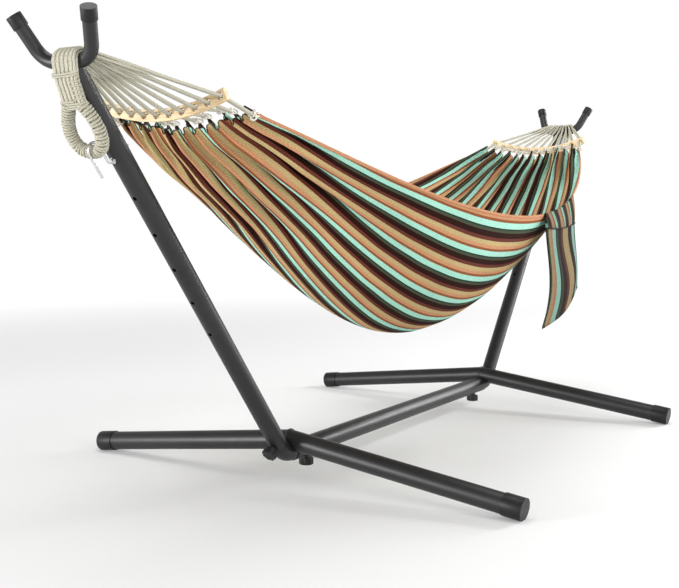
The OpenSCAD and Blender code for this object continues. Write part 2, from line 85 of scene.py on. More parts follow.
hook_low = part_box("hook_tube_b")[0]
HOOK_X = hook_low.x + HOOK_R
HOOK_Z = hook_low.z + HOOK_R
bed_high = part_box("bed_fabric")[1]
bar_low, bar_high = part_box("spreader_bar_b")
BAR_X = (bar_low.x + bar_high.x) / 2
BAR_T = bar_high.x - bar_low.x

# ---------------------------------------------------------------- camera

CAMERA_AT = (-2.5736, -1.4036, 0.6674)
CAMERA_TURN = math.radians(31.92)
CAMERA_DIP = math.radians(5.09)
LENS_MM, SENSOR_MM = 56.64, 36.0
CAMERA_SHIFT = -0.0053
FAR_CLIP = 60.0
camera_data = bpy.data.cameras.new("camera")
camera_data.lens = LENS_MM
camera_data.sensor_width = SENSOR_MM
camera_data.shift_y = CAMERA_SHIFT
camera_data.clip_end = FAR_CLIP
camera = bpy.data.objects.new("camera", camera_data)
camera.location = CAMERA_AT
camera.rotation_euler = (math.pi / 2 - CAMERA_DIP, 0, CAMERA_TURN - math.pi / 2)
bpy.context.scene.collection.objects.link(camera)
bpy.context.scene.camera = camera


# ---------------------------------------------------------------- material helpers


class Nodes:
    """Short names for the shader nodes that the materials below are made of."""

    def __init__(self, name):
        self.material = bpy.data.materials.new(name)
        self.material.use_nodes = True
        self.tree = self.material.node_tree
        self.shader = self.tree.nodes["Principled BSDF"]

    def set(self, **values):
        for key, value in values.items():
            socket = self.shader.inputs[key.replace("_", " ").title().replace("Ior", "IOR")]
            socket.default_value = (*value, 1.0) if isinstance(value, tuple) else value

    def link(self, source, target):
        self.tree.links.new(source, target)

    def new(self, kind, **settings):
        node = self.tree.nodes.new(kind)
        for key, value in settings.items():
            setattr(node, key, value)
        return node

    def put(self, value, socket):
        if isinstance(value, (int, float)):
            socket.default_value = value
        elif isinstance(value, tuple):
            socket.default_value = (*value, 1.0) if len(socket.default_value) == 4 else value
        else:
            self.link(value, socket)

    def math(self, operation, *values):
        node = self.new("ShaderNodeMath", operation=operation)
        for value, socket in zip(values, node.inputs):
            self.put(value, socket)
        return node.outputs[0]

    def uv(self):
        """The along and across parts of a piece's UVs."""
        source = self.new("ShaderNodeUVMap", uv_map="UVMap")
        parts = self.new("ShaderNodeSeparateXYZ")
        self.link(source.outputs[0], parts.inputs[0])
        return parts.outputs[0], parts.outputs[1]

    def place(self, x=0.0, y=0.0, z=0.0):
        node = self.new("ShaderNodeCombineXYZ")
        for value, socket in zip((x, y, z), node.inputs):
            self.put(value, socket)
        return node.outputs[0]

    def at(self):
        return self.new("ShaderNodeTexCoord").outputs["Object"]

    def noise(self, at, scale, detail=2.0, roughness=0.5):
        node = self.new("ShaderNodeTexNoise")
        self.link(at, node.inputs["Vector"])
        node.inputs["Scale"].default_value = scale
        node.inputs["Detail"].default_value = detail
        node.inputs["Roughness"].default_value = roughness
        return node.outputs["Fac"]

    def stretch(self, at, scale):
        node = self.new("ShaderNodeMapping")
        self.link(at, node.inputs["Vector"])
        node.inputs["Scale"].default_value = scale
        return node.outputs[0]

    def ramp(self, value, stops, interpolation="LINEAR"):
        node = self.new("ShaderNodeValToRGB")
        self.link(value, node.inputs[0])
        ramp = node.color_ramp
        ramp.interpolation = interpolation
        while len(ramp.elements) < len(stops):
            ramp.elements.new(1.0)
        for element, (position, colour) in zip(ramp.elements, stops):
            element.position = position
            element.color = (*colour, 1.0)
        return node.outputs[0]

    def mix(self, share, a, b, kind="MIX"):
        node = self.new("ShaderNodeMix", data_type="RGBA", blend_type=kind)
        self.put(share, node.inputs[0])
        self.put(a, node.inputs[6])
        self.put(b, node.inputs[7])
        return node.outputs[2]

    def remap(self, value, low, high):
        node = self.new("ShaderNodeMapRange")
        self.link(value, node.inputs["Value"])
        node.inputs["To Min"].default_value = low
        node.inputs["To Max"].default_value = high
        return node.outputs[0]

    def colour(self, value):
        self.link(value, self.shader.inputs["Base Color"])

    def rough(self, value):
        self.link(value, self.shader.inputs["Roughness"])

    def bump(self, height, depth, strength=1.0):
        """Raises the surface by height times depth, in metres. Calls stack."""
        node = self.new("ShaderNodeBump")
        node.inputs["Strength"].default_value = strength
        node.inputs["Distance"].default_value = depth
        self.link(height, node.inputs["Height"])
        before = self.shader.inputs["Normal"].links
        if before:
            self.link(before[0].from_socket, node.inputs["Normal"])
        self.link(node.outputs[0], self.shader.inputs["Normal"])


def srgb(red, green, blue):
    """A colour given as 0 to 255 screen values, as the shader wants it."""
    return tuple(
        (c / 255 / 12.92) if c / 255 <= 0.04045 else ((c / 255 + 0.055) / 1.055) ** 2.4
        for c in (red, green, blue)
    )


# ---------------------------------------------------------------- materials


def powder_coat():
    m = Nodes("black_powder_coat")
    at = m.at()
    m.colour(m.ramp(m.noise(at, 9, 4), [(0.3, (0.010, 0.010, 0.011)), (0.7, (0.015, 0.015, 0.016))]))
    m.rough(m.remap(m.noise(at, 35, 3), 0.38, 0.48))
    m.set(specular_ior_level=0.44)
    m.bump(m.noise(at, 1400, 2), 0.00008, 0.3)
    return m.material


def moulded_plastic():
    m = Nodes("black_moulded_plastic")
    at = m.at()
    m.colour(m.ramp(m.noise(at, 20, 3), [(0.3, (0.006, 0.006, 0.006)), (0.7, (0.010, 0.010, 0.010))]))
    m.rough(m.remap(m.noise(at, 60, 3), 0.38, 0.52))
    m.set(specular_ior_level=0.32)
    m.bump(m.noise(at, 2600, 3), 0.00010, 0.7)
    return m.material


def zinc_plate():
    m = Nodes("zinc_plated_steel")
    at = m.at()
    m.set(metallic=1.0)
    m.colour(m.ramp(m.noise(at, 120, 3), [(0.3, (0.62, 0.63, 0.64)), (0.7, (0.80, 0.80, 0.79))]))
    m.rough(m.remap(m.noise(at, 300, 4), 0.16, 0.34))
    m.bump(m.noise(m.stretch(at, (1, 1, 6)), 900, 3), 0.00005, 0.5)
    return m.material


def braided_cotton(name, light, dark, pitch=0.0085, starts=3):
    """A round braid, painted darker in its grooves as shade, with random fuzz. UVs run in metres along
    it and once round it.
    """
    m = Nodes(name)
    along, around = m.uv()
    step = m.math("MULTIPLY", along, 2 * math.pi / pitch)
    turn = m.math("MULTIPLY", around, 2 * math.pi * starts)
    right = m.math("SINE", m.math("ADD", step, turn))
    left = m.math("SINE", m.math("SUBTRACT", step, turn))
    braid = m.math("MULTIPLY_ADD", m.math("MAXIMUM", right, left), 0.5, 0.5)
    fuzz = m.noise(m.at(), 700, 4)
    # painted shade in the braid's grooves, with random fuzz
    tone = m.math("MULTIPLY_ADD", braid, 0.75, m.math("MULTIPLY", fuzz, 0.3))
    m.colour(m.ramp(tone, [(0.05, dark), (0.75, light)]))
    m.set(roughness=0.85, specular_ior_level=0.2)
    m.bump(braid, 0.0003, 0.3)
    m.bump(fuzz, 0.0002, 0.5)
    return m.material


def pale_wood():
    """Grain that runs along a bar's length, which is Y."""
    m = Nodes("pale_hardwood")
    grain = m.noise(m.stretch(m.at(), (170, 6, 170)), 1.0, 6, 0.6)
    pores = m.noise(m.stretch(m.at(), (900, 40, 900)), 1.0, 3)
    tone = m.math("MULTIPLY_ADD", pores, 0.25, m.math("MULTIPLY", grain, 0.85))
    late, even, early = srgb(190, 154, 110), srgb(218, 190, 146), srgb(230, 207, 168)
    m.colour(m.ramp(tone, [(0.36, late), (0.50, even), (0.68, early)]))
    m.rough(m.remap(grain, 0.42, 0.62))
    m.bump(pores, 0.0002, 0.5)
    return m.material


TERRACOTTA = srgb(216, 160, 120)
RUST = srgb(156, 94, 58)
MINT = srgb(182, 244, 227)
GREEN = srgb(34, 62, 50)
SAGE = srgb(76, 84, 66)
BROWN = srgb(46, 16, 8)
MAROON = srgb(112, 58, 48)
KHAKI = srgb(206, 186, 134)
# Each stripe's colour and its share of one repeat, from the right hem inward
STRIPES = [
    (TERRACOTTA, 0.12),
    (RUST, 0.09),
    (MINT, 0.19),
    (GREEN, 0.05),
    (SAGE, 0.09),
    (BROWN, 0.19),
    (MAROON, 0.12),
    (KHAKI, 0.15),
]
# The bag is cut with one wide run of stripes across it
BAG_STRIPES = [
    (SAGE, 0.04),
    (KHAKI, 0.05),
    (TERRACOTTA, 0.06),
    (MINT, 0.10),
    (GREEN, 0.03),
    (SAGE, 0.05),
    (BROWN, 0.09),
    (MAROON, 0.07),
    (KHAKI, 0.19),
    (BROWN, 0.15),
    (MINT, 0.11),
    (GREEN, 0.06),
]


# The pitches of the weave's crosswise ribs, its threads, its fine warp and its twill lines
RIB_PITCH, THREAD_PITCH = 0.0034, 0.0030
WARP_PITCH, TWILL_PITCH = 0.0015, 0.0065
# How far the edge of a stripe wanders to either side
WANDER = 0.0008


def striped_cloth(name, repeat, shift=0.0, striping=STRIPES, tone=1.0):
    """Warp stripes and a coarse ribbed weave, with painted shade in the weave's hollows and a painted
    highlight on its crowns. A tone under 1 darkens the whole cloth as painted shade. UVs run in metres
    along and across the stripes.
    """
    m = Nodes(name)
    along, across = m.uv()
    cell = m.place(m.math("MULTIPLY", along, 260), m.math("MULTIPLY", across, 900), 0.0)
    slub = m.noise(cell, 1.0, 3, 0.6)
    wander = m.math("MULTIPLY_ADD", slub, 2 * WANDER, -WANDER)
    turn = m.math("FRACT", m.math("MULTIPLY_ADD", m.math("ADD", across, wander), 1 / repeat, shift))
    stops, start = [], 0.0
    for stripe, share in striping:
        stops.append((start, stripe))
        start += share
    stripes = m.ramp(turn, stops, "CONSTANT")
    # crosswise ribs, with every other warp thread over them
    rib = m.math("MULTIPLY", along, 2 * math.pi / RIB_PITCH)
    thread = m.math("SINE", m.math("MULTIPLY", across, 2 * math.pi / THREAD_PITCH))
    weave = m.math("SINE", m.math("ADD", rib, m.math("MULTIPLY", thread, 0.9)))
    warp = m.math("COSINE", m.math("MULTIPLY", across, 2 * math.pi / WARP_PITCH))
    height = m.math("ADD", m.math("MULTIPLY", weave, 0.5), m.math("MULTIPLY", warp, 0.18))
    height = m.math("ADD", height, 0.5)
    # painted shade in the weave's hollows and a painted highlight on its crowns, by the weave's height
    painted_hollow_shade, level, painted_crown_highlight = (0.52, 0.50, 0.48), (0.95, 0.95, 0.95), (1.16, 1.15, 1.12)
    painted_weave_shade = m.ramp(height, [(0.0, painted_hollow_shade), (0.55, level), (1.0, painted_crown_highlight)])
    tinted = m.mix(1.0, stripes, painted_weave_shade, "MULTIPLY")
    twill = m.math("SINE", m.math("MULTIPLY", m.math("ADD", along, across), 2 * math.pi / TWILL_PITCH))
    lines = m.ramp(twill, [(0.0, (0.88, 0.87, 0.86)), (1.0, (1.08, 1.08, 1.08))])
    tinted = m.mix(1.0, tinted, lines, "MULTIPLY")
    fleck = m.ramp(slub, [(0.36, (0.66, 0.64, 0.62)), (0.66, (1.22, 1.21, 1.20))])
    tinted = m.mix(1.0, tinted, fleck, "MULTIPLY")
    # random wear, times the tone, which darkens a whole cloth as painted shade
    worn_and_shaded, fresh_and_shaded = (1.00 * tone,) * 3, (1.13 * tone,) * 3
    wear_and_shade = m.ramp(m.noise(m.place(along, across, 0.0), 5, 4), [(0.3, worn_and_shaded), (0.7, fresh_and_shaded)])
    tinted = m.mix(1.0, tinted, wear_and_shade, "MULTIPLY")
    m.colour(tinted)
    m.set(roughness=0.9, specular_ior_level=0.12)
    m.bump(height, 0.0005, 0.8)
    m.bump(slub, 0.0003, 0.4)
    return m.material


def plain_cloth(name, light, dark):
    """Folded and stitched edges, painted darker between their ribs as shade, with random thread tone.
    UVs run in metres along and once round.
    """
    m = Nodes(name)
    along, around = m.uv()
    rib = m.math("SINE", m.math("MULTIPLY", along, 2 * math.pi / THREAD_PITCH))
    cell = m.place(m.math("MULTIPLY", along, 300), m.math("MULTIPLY", around, 14), 0.0)
    thread = m.noise(cell, 1.0, 3)
    # painted shade between the ribs, with random thread tone
    tone = m.math("MULTIPLY_ADD", rib, 0.16, thread)
    m.colour(m.ramp(tone, [(0.30, dark), (0.62, light)]))
    m.set(roughness=0.9, specular_ior_level=0.12)
    m.bump(tone, 0.0005, 0.8)
    return m.material


COAT = powder_coat()
PLASTIC = moulded_plastic()
ZINC = zinc_plate()
# Each braid's second colour is the painted shade in its grooves
CREAM = braided_cotton("natural_cotton_braid", srgb(188, 185, 168), srgb(170, 166, 149))
WHIPPING = braided_cotton("whipping_cord", srgb(178, 175, 158), srgb(158, 154, 137), 0.006, 2)
WHITE = braided_cotton("white_cotton_braid", srgb(226, 223, 213), srgb(160, 154, 140), 0.006)
WOOD = pale_wood()
BED_CLOTH = striped_cloth("striped_bed_cloth", STRIPE_REPEAT)
# The header's stripes are wider than the bed's
HEADER_REPEAT = 0.092
# The bag's and the header's tones paint shade on them, darkening their stripes
BAG_CLOTH = striped_cloth("striped_bag_cloth", BAG_W, striping=BAG_STRIPES, tone=0.42)
HEADER_CLOTH = striped_cloth("striped_header_cloth", HEADER_REPEAT, 0.62, tone=0.45)
# Each edge cloth's second colour is partly painted shade between its ribs and partly random thread tone
HEM_CLOTH = plain_cloth("terracotta_hem", srgb(204, 150, 112), srgb(140, 92, 62))
BINDING = plain_cloth("dark_binding", srgb(58, 46, 40), srgb(22, 17, 15))

MATERIAL_OF_SLOT = {
    "black_steel": COAT,
    "black_plastic": PLASTIC,
    "bright_steel": ZINC,
    "cotton_cord": CREAM,
    "white_cord": WHITE,
    "pale_wood": WOOD,
    "striped_cloth": BED_CLOTH,
    "edge_cloth": HEM_CLOTH,
    "bag_cloth": BAG_CLOTH,
}
for part in frame["record"]["subparts"]:
    cad_node = frame["nodes"][part["node"]]
    cad_node.data.materials.clear()
    cad_node.data.materials.append(MATERIAL_OF_SLOT[part["material_slot"]])

# ---------------------------------------------------------------- mesh helpers


class Shape:
    """Points, faces and face-corner UVs gathered from several parts into one mesh."""

    def __init__(self):
        self.points, self.faces, self.uvs, self.total = [], [], [], 0

    def add(self, points, faces, uvs):
        self.points.append(np.asarray(points, float))
        self.faces += [tuple(int(v) + self.total for v in face) for face in faces]
        self.uvs.append(np.asarray(uvs, float).reshape(-1, 2))
        self.total += len(points)

    def piece(self, name, material, slot, body=None):
        mesh = bpy.data.meshes.new(name)
        mesh.from_pydata(np.concatenate(self.points).tolist(), [], self.faces)
        layer = mesh.uv_layers.new(name="UVMap")
        layer.data.foreach_set("uv", np.concatenate(self.uvs).astype(np.float32).ravel())
        mesh.polygons.foreach_set("use_smooth", np.ones(len(mesh.polygons), bool))
        mesh.materials.append(material)
        made = bpy.data.objects.new(name, mesh)
        bpy.context.scene.collection.objects.link(made)
        if body:
            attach(made, body)
        return made


def net(rows, columns, closed=False):
    """Faces of a net of points, and the row and column of each face corner."""
    i, j = np.meshgrid(
        np.arange(rows - 1), np.arange(columns if closed else columns - 1), indexing="ij"
    )
    i, j = i.ravel(), j.ravel()
    corners = np.stack(
        [np.stack(c, 1) for c in ((i, j), (i, j + 1), (i + 1, j + 1), (i + 1, j))], 1
    )
    return corners[..., 0] * columns + corners[..., 1] % columns, corners


def unit(v):
    return v / np.maximum(np.linalg.norm(v, axis=-1, keepdims=True), 1e-12)


def carried_frame(path, up=None):
    """Two normals at each point of a path, with no twist between points."""
    tangent = unit(np.gradient(path, axis=0))
    first = np.array(up if up is not None else (0.31, 0.17, 0.93))
    side = [unit(np.cross(tangent[0], np.cross(first, tangent[0])))]
    for t in tangent[1:]:
        side.append(unit(side[-1] - t * (side[-1] @ t)))
    side = np.array(side)
    return side, np.cross(tangent, side)


def lengths(path):
    """The distance along a path at each of its points."""
    return np.concatenate([[0], np.cumsum(np.linalg.norm(np.diff(path, axis=0), axis=1))])


def resample(path, step):
    """A path's points set evenly along it."""
    path = np.asarray(path, float)
    at = lengths(path)
    count = max(2, int(round(at[-1] / step)) + 1)
    even = np.linspace(0, at[-1], count)
    return np.stack([np.interp(even, at, path[:, k]) for k in range(3)], 1)


def rounded(points, step):
    """A smooth curve (Catmull-Rom) through points, its own points set evenly."""
    points = np.asarray(points, float)
    padded = np.vstack([2 * points[0] - points[1], points, 2 * points[-1] - points[-2]])
    t = np.linspace(0, 1, 16, endpoint=False)[:, None]
    spans = []
    for a, b, c, d in zip(padded, padded[1:], padded[2:], padded[3:]):
        square, cube = 2 * a - 5 * b + 4 * c - d, 3 * b - a - 3 * c + d
        spans.append(0.5 * (2 * b + (c - a) * t + square * t**2 + cube * t**3))
    return resample(np.vstack([*spans, points[-1:]]), step)


def tube(shape, path, radius, sides=10, squeeze=1.0, up=None):
    """A round or flattened bar along a path. radius may change along it."""
    path = np.asarray(path, float)
    side, other = carried_frame(path, up)
    radius = np.broadcast_to(np.asarray(radius, float), (len(path),))[:, None, None]
    turn = np.linspace(0, 2 * math.pi, sides, endpoint=False)[None, :, None]
    rings = (
        path[:, None, :]
        + radius * np.cos(turn) * side[:, None, :]
        + radius * squeeze * np.sin(turn) * other[:, None, :]
    )
    faces, corners = net(len(path), sides, True)
    along = lengths(path)
    uvs = np.stack([along[corners[..., 0]], corners[..., 1] / sides], -1).reshape(-1, 2)
    faces = [f[::-1] for f in faces.tolist()]
    uvs = uvs.reshape(-1, 4, 2)[:, ::-1].reshape(-1, 2)
    last = (len(path) - 1) * sides
    ends = [list(range(sides)), list(range(last + sides - 1, last - 1, -1))]
    end_uvs = [[along[0], 0.5]] * sides + [[along[-1], 0.5]] * sides
    shape.add(rings.reshape(-1, 3), faces + ends, np.vstack([uvs, end_uvs]))


def modify(piece, kind, **settings):
    made = piece.modifiers.new(kind.lower(), kind)
    for key, value in settings.items():
        setattr(made, key, value)


def smoothstep(low, high, x):
    t = np.clip((x - low) / (high - low), 0, 1)
    return t * t * (3 - 2 * t)


# Each end's name, and the sign of its X
ENDS = {"a": -1.0, "b": 1.0}

# ---------------------------------------------------------------- bed

# The bed's half width, and the heights of its hems and its floor, at an end and in the middle
END_HALF_W, MID_HALF_W = 0.176, 0.372
END_HEM_Z, MID_HEM_Z = 0.820, 0.612
END_FLOOR_Z, MID_FLOOR_Z = 0.748, 0.292
# How far the floor's middle rises at the very ends
END_LIFT = 0.040
# The CAD cloth stops at this share of the bed's half length, short of its end hems
CAD_CLOTH_SHARE = 0.988
BED_HALF_L = bed_high.x / CAD_CLOTH_SHARE
# Powers of the fullness that the hems and the floor follow, and of the way to an end for the lift
HEM_POWER, FLOOR_POWER, LIFT_POWER = 1.15, 1.9, 22
# Under 1 makes the section's bottom rounder than a circle's arc
SECTION_POWER = 0.87


def fullness(u):
    return 1 - u * u


def hem_line(u):
    """Half the bed's width and the height of its hems at u, from -1 at the A end to 1 at the B end."""
    s = fullness(u)
    return (
        END_HALF_W + (MID_HALF_W - END_HALF_W) * s,
        END_HEM_Z - (END_HEM_Z - MID_HEM_Z) * s**HEM_POWER,
    )


def section(u, count=240):
    """The bed's smooth cross section at u, from the right hem to the left, as y and z."""
    half_w, hem_z = hem_line(u)
    sag = (END_FLOOR_Z - MID_FLOOR_Z) * fullness(u) ** FLOOR_POWER
    floor_z = END_FLOOR_Z - sag + END_LIFT * abs(u) ** LIFT_POWER
    a = np.linspace(-SECTION_ANGLE, SECTION_ANGLE, count)
    rise = ((1 - np.cos(a)) / (1 - math.cos(SECTION_ANGLE))) ** SECTION_POWER
    y = half_w * np.sin(a) / math.sin(SECTION_ANGLE)
    return np.stack([y, floor_z + (hem_z - floor_z) * rise], 1)


def fold_wave(turns):
    """The slope of the folds: wide crests outside at whole turns, and narrow ones inside."""
    turn = 2 * math.pi * turns
    return np.sin(turn) * (1 - FOLD_SHARPNESS * np.cos(turn))


def fold_angle(share):
    """How steeply folds run where the cloth's width is gathered to that share of itself."""
    low, high = 0.0, 2.4
    turn = np.linspace(0, 1, 120)
    for _ in range(30):
        mid = (low + high) / 2
        if np.mean(np.cos(mid * fold_wave(turn))) > share:
            low = mid
        else:
            high = mid
    return low


BED_ROWS, BED_COLUMNS = 241, 433
# Where each fold starts, as a share of the way from the middle to an end, and how long it grows
FOLD_STARTS = [0.70, 0.62, 0.42, 0.56, 0.66, 0.46, 0.60, 0.40, 0.54, 0.64, 0.48, 0.58]
FOLD_GROWTH = 0.34
# The width that hangs between the hems, which every row spends
FULL_W = 1.02
# The most that small folds take over from the large ones by the ties
SMALL_SHARE = 0.55
# How far the end edge hangs back between ties, and how far the slack cloth bellies down and out
SCALLOP = 0.008
BELLY_DOWN, BELLY_OUT = 0.012, 0.014
# How far the side edge is turned under at the corners, and the height of the uneven ripples
TURN_UNDER = 0.020
RIPPLE = 0.0028


def fold_turns(share):
    """How many folds lie between the right hem and each share of the width, unevenly."""
    drift = 0.10 * np.sin(2 * math.pi * (1.6 * share + 0.10))
    drift = drift + 0.09 * np.sin(2 * math.pi * (4.3 * share + 0.45))
    return FOLDS * share - 0.08 + drift * smoothstep(0.0, 0.15, share) * smoothstep(0.0, 0.15, 1 - share)


def bed_row(u):
    """Points across the bed at u, with the cloth's own width spent in folds towards the ends."""
    base = section(u)
    at = lengths(np.column_stack([base, np.zeros(len(base))]))
    share = np.linspace(0, 1, BED_COLUMNS)
    gather = min(1.0, at[-1] / FULL_W)
    starts = np.array(FOLD_STARTS if u < 0 else FOLD_STARTS[::-1])
    start = np.interp(share * FOLDS, np.arange(FOLDS) + 0.5, starts)
    strength = smoothstep(start, start + FOLD_GROWTH, abs(u))
    turns = fold_turns(share)
    # close to the ties each fold splits into three small ones
    split = SMALL_SHARE * float(smoothstep(0.80, 1.0, abs(u)))
    angle = fold_angle(gather ** (1 - split)) * strength * fold_wave(turns)
    small = np.sin(2 * math.pi * (3 * turns + 0.1 * np.sin(40 * share)))
    angle = angle + fold_angle(gather**split) * small
    step = FULL_W / (BED_COLUMNS - 1)
    angle = (angle[1:] + angle[:-1]) / 2
    run = np.concatenate([[0], np.cumsum(np.cos(angle))]) * step
    rise = np.concatenate([[0], np.cumsum(np.sin(angle))]) * step
    # the folds' outer crests lie evenly on the smooth section, and the rest of each fold inside it
    crests = np.array([np.argmin(abs(turns - k)) for k in range(FOLDS + 1)])
    crests[0], crests[-1] = 0, BED_COLUMNS - 1
    run = np.interp(run, run[crests], share[crests] * at[-1])
    lift = rise - np.interp(share, share[crests], rise[crests])
    depth = max(lift.max(), 1e-6)
    y, z = np.interp(run, at, base[:, 0]), np.interp(run, at, base[:, 1])
    slope = unit(np.gradient(base, axis=0))
    inward = np.stack([-np.interp(run, at, slope[:, 1]), np.interp(run, at, slope[:, 0])], 1)
    # between its ties the end edge hangs back in scallops
    back = SCALLOP * smoothstep(0.94, 1.0, abs(u)) * (1 - lift / depth)
    # under the ties the slack cloth bellies out, furthest on its left side
    slack = math.sin(math.pi * float(smoothstep(0.60, 1.0, abs(u))))
    lift = lift - BELLY_DOWN * slack * np.sin(math.pi * share) ** 0.8
    bulge = BELLY_OUT * slack * smoothstep(0.40, 0.75, share) * smoothstep(0.0, 0.12, 1 - share)
    x = u * BED_HALF_L + math.copysign(1, u) * (bulge - back)
    return np.column_stack([x, y + inward[:, 0] * lift, z + inward[:, 1] * lift])


def ripple(points):
    """Small unevenness of hanging cloth, a few millimetres at most."""
    moved = points.copy()
    for k, p in enumerate(points):
        n = noise.noise(Vector((p[0] * 3.1, p[1] * 6.0, p[2] * 6.0)))
        n += 0.45 * noise.noise(Vector((p[0] * 9.0 + 5, p[1] * 17.0, p[2] * 17.0)))
        moved[k, 2] += RIPPLE * n
    return moved


# rows crowd towards the ends, where the folds are
ROW_ANGLE = 0.86 * math.pi / 2
row_u = np.sin(np.linspace(-ROW_ANGLE, ROW_ANGLE, BED_ROWS)) / math.sin(ROW_ANGLE)
bed_rows = np.array([bed_row(u) for u in row_u])
bed_shape = Shape()
bed_faces, bed_corners = net(BED_ROWS, BED_COLUMNS)
corner_u = row_u[bed_corners[..., 0]]
corner_share = bed_corners[..., 1] / (BED_COLUMNS - 1)
# towards its corners the cloth's edge is turned under further
turned = TURN_UNDER * smoothstep(0.55, 1.0, abs(corner_u))
turned = turned * (1 - smoothstep(0.0, 0.06, corner_share) - smoothstep(0.94, 1.0, corner_share))
cloth_at = np.stack([corner_u * CLOTH_L / 2, corner_share * CLOTH_W + turned], -1)
bed_shape.add(ripple(bed_rows.reshape(-1, 3)), bed_faces, cloth_at)
bed = bed_shape.piece("bed_cloth", BED_CLOTH, "striped_cloth", "hammock")
modify(bed, "SOLIDIFY", thickness=BED_THICK, offset=0.0)
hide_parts("bed_fabric")

# ---------------------------------------------------------------- hems

SIDE_HEM_R, SIDE_HEM_SQUEEZE = 0.0038, 0.6
END_BINDING_R = 0.0011

for column, name in ((0, "right"), (-1, "left")):
    line = resample(bed_rows[:, column], 0.006)
    shape = Shape()
    tube(shape, line, SIDE_HEM_R, 10, SIDE_HEM_SQUEEZE, (0, 0, 1))
    hem = shape.piece(f"side_hem_{name}_cloth", HEM_CLOTH, "edge_cloth", "hammock")
    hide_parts(f"side_hem_{name}")

for end, sign in ENDS.items():
    line = resample(bed_rows[0 if sign < 0 else -1], 0.003)
    shape = Shape()
    tube(shape, line, END_BINDING_R, 8)
    hem = shape.piece(f"end_hem_{end}_binding", BINDING, "edge_cloth", "hammock")
    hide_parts(f"end_hem_{end}")

# ---------------------------------------------------------------- spreader bars and cords

# The radius of the bar's bow, the height of its middle hole and the angle between holes
BAR_BOW_R = 0.430
BAR_Z = bar_low.z + 0.012
HOLE_STEP = math.radians(4.25)
half_cords = CORDS // 2
# The hole of the anchor hook in the arm, out from the middle and up from the floor
HOLE_OUT, HOLE_Z = 1.0934, 0.7442
# The loop's lowest rope from that hole, off the arm and along it, and the tilt of its plane
LOOP_OUT, LOOP_UP = 0.049, 0.0385
LOOP_TILT = math.radians(7.6)
# The neck's lower end, up from the loop's lowest rope, and its half width
NECK_LOW = 0.096
NECK_HALF_W = 0.0235
# Half the width of each saddle's band, and how far it sits to the left
SADDLE_HALF_W = {-1.0: 0.0255, 1.0: 0.0390}
SADDLE_SHIFT = {-1.0: -0.008, 1.0: 0.0}
# The saddle's straight half, the radius of the bends at its ends, and its plane's lean
SADDLE_HALF_L = 0.027
PRONG_BEND_R = 0.044
HOOK_LEAN = math.radians(27)
# The middle of the two layers of strands on the hook tube
WRAP_R = HOOK_R + 2 * STRAND_R + 0.0001
# How far every other cord rides off that layer on the saddle, and off the neck's middle layer
PACKED, PROUD = 0.0008, 0.0011
# The angles about the hook tube between which a cord lies on it, and where the neck begins
WRAP_FROM, WRAP_TO, WRAP_STEP = 190, 66, 8
NECK_ANGLE = math.radians(196)
# Eleven cords share the twelve folds' inner crests with the two hems
FOLDS_PER_CORD = 1.1
# How far a cord runs straight past each face of the bar
HOLE_CLEAR = 0.004
# How far from the cloth's edge a cord's tail ends, and a knot's middle lies
TAIL_OUT, KNOT_OUT = 0.012, 0.010


def bar_hole(sign, i):
    a = i * HOLE_STEP
    return np.array([sign * BAR_X, BAR_BOW_R * math.sin(a), BAR_Z + BAR_BOW_R * (1 - math.cos(a))])


def tie(sign, i):
    """Where a cord takes the cloth's end: at a hem, or at a fold's inner crest."""
    row = bed_rows[0 if sign < 0 else -1]
    share = np.linspace(0, 1, BED_COLUMNS)
    fold = round(FOLDS_PER_CORD * (i + half_cords)) + 0.5
    column = {-half_cords: 0, half_cords: BED_COLUMNS - 1}
    return row[column.get(i, int(np.argmin(abs(fold_turns(share) - fold))))]


def on_hook(sign, y, angle, radius):
    """A point about a hook tube's axis at y. The angle is 0 inward and 90 degrees up."""
    past = max(0.0, abs(y) - SADDLE_HALF_L)
    climb = PRONG_BEND_R - math.sqrt(PRONG_BEND_R**2 - past * past)
    x = HOOK_X + climb * math.sin(HOOK_LEAN) - radius * math.cos(angle)
    z = HOOK_Z + climb * math.cos(HOOK_LEAN) + radius * math.sin(angle)
    return np.array([sign * x, y, z])


def on_loop(sign, w, h, d=0.0):
    """A point by the loop's plane: w across, h up from its lowest rope and d outward."""
    out = LOOP_OUT - math.sin(LOOP_TILT) * h + math.cos(LOOP_TILT) * d
    up = LOOP_UP + math.cos(LOOP_TILT) * h + math.sin(LOOP_TILT) * d
    x = HOLE_OUT + math.sin(ARM_LEAN) * up + math.cos(ARM_LEAN) * out
    z = HOLE_Z + math.cos(ARM_LEAN) * up - math.sin(ARM_LEAN) * out
    return np.array([sign * x, w, z])


def neck(sign, w, t):
    """A point in the neck's middle layer, from 0 at its lower end to 1 at the saddle."""
    low, high = on_loop(sign, w, NECK_LOW), on_hook(sign, 0, NECK_ANGLE, WRAP_R)
    return low + (high + np.array([0, w, 0]) - low) * t


NECK_L = float(np.linalg.norm(neck(1, 0, 1) - neck(1, 0, 0)))


def outside(sign):
    """The direction that the neck's outer face looks in."""
    run = unit(neck(sign, 0, 1) - neck(sign, 0, 0))
    return np.array([run[2], 0, -run[0]]) * sign


